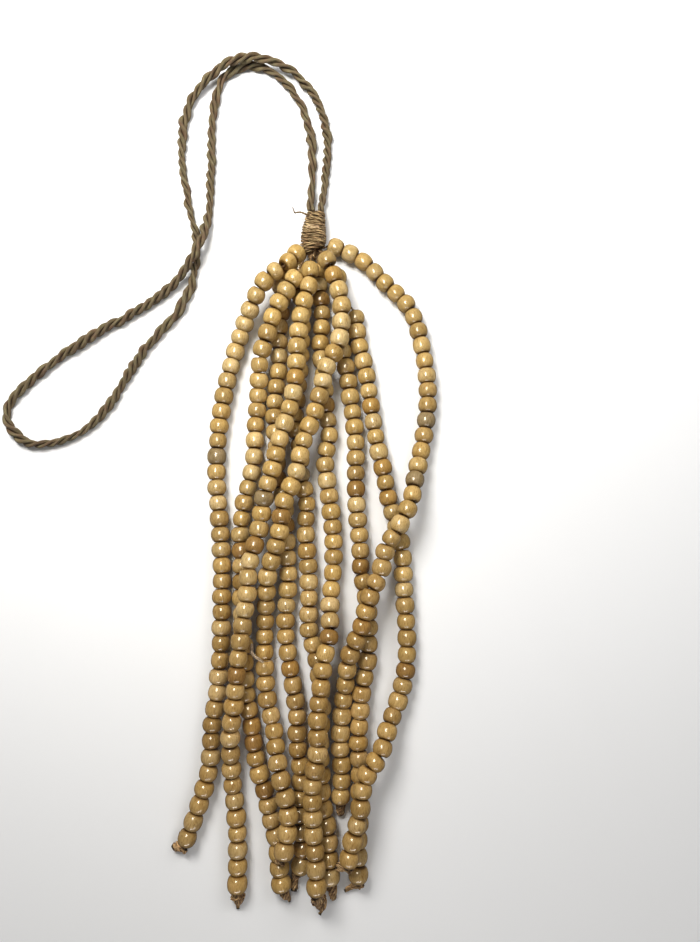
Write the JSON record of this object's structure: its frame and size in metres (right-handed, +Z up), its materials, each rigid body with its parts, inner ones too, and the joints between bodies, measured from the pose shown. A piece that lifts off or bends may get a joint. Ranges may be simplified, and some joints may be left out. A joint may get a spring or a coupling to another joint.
{
  "type": "beaded tassel",
  "caption": "Tassel of wooden barrel beads on knotted strings under a wound twine binding, with a long plied hanging loop, laid flat.",
  "frame": {"origin": "on the surface it lies on, under the middle of the twine binding", "axes": "+X to the right, +Y from the beads towards the hanging loop, +Z up from the surface"},
  "size_m": [0.2324, 0.4558, 0.0199],
  "materials": {
    "bead_wood": "varnished light wood, honey to amber, fine grain",
    "string": "brown waxed string, frayed at the knots",
    "twine": "brown twisted twine, wound close",
    "plied_cord": "olive brown plied cord, matte with a slight sheen"
  },
  "bodies": {
    "root": {"binding": "twine", "string_bunch": "string", "hanging_cord": "plied_cord", "strand_01": "bead_wood", "strand_02": "bead_wood", "strand_03": "bead_wood", "strand_04": "bead_wood", "strand_05": "bead_wood", "strand_06": "bead_wood", "strand_07": "bead_wood", "strand_08": "bead_wood", "strand_09": "bead_wood", "strand_10": "bead_wood", "knot_01": "string", "knot_02": "string", "knot_03": "string", "knot_04": "string", "knot_05": "string", "knot_06": "string", "knot_07": "string", "knot_08": "string", "knot_09": "string", "knot_10": "string"}
  },
  "joints": []
}
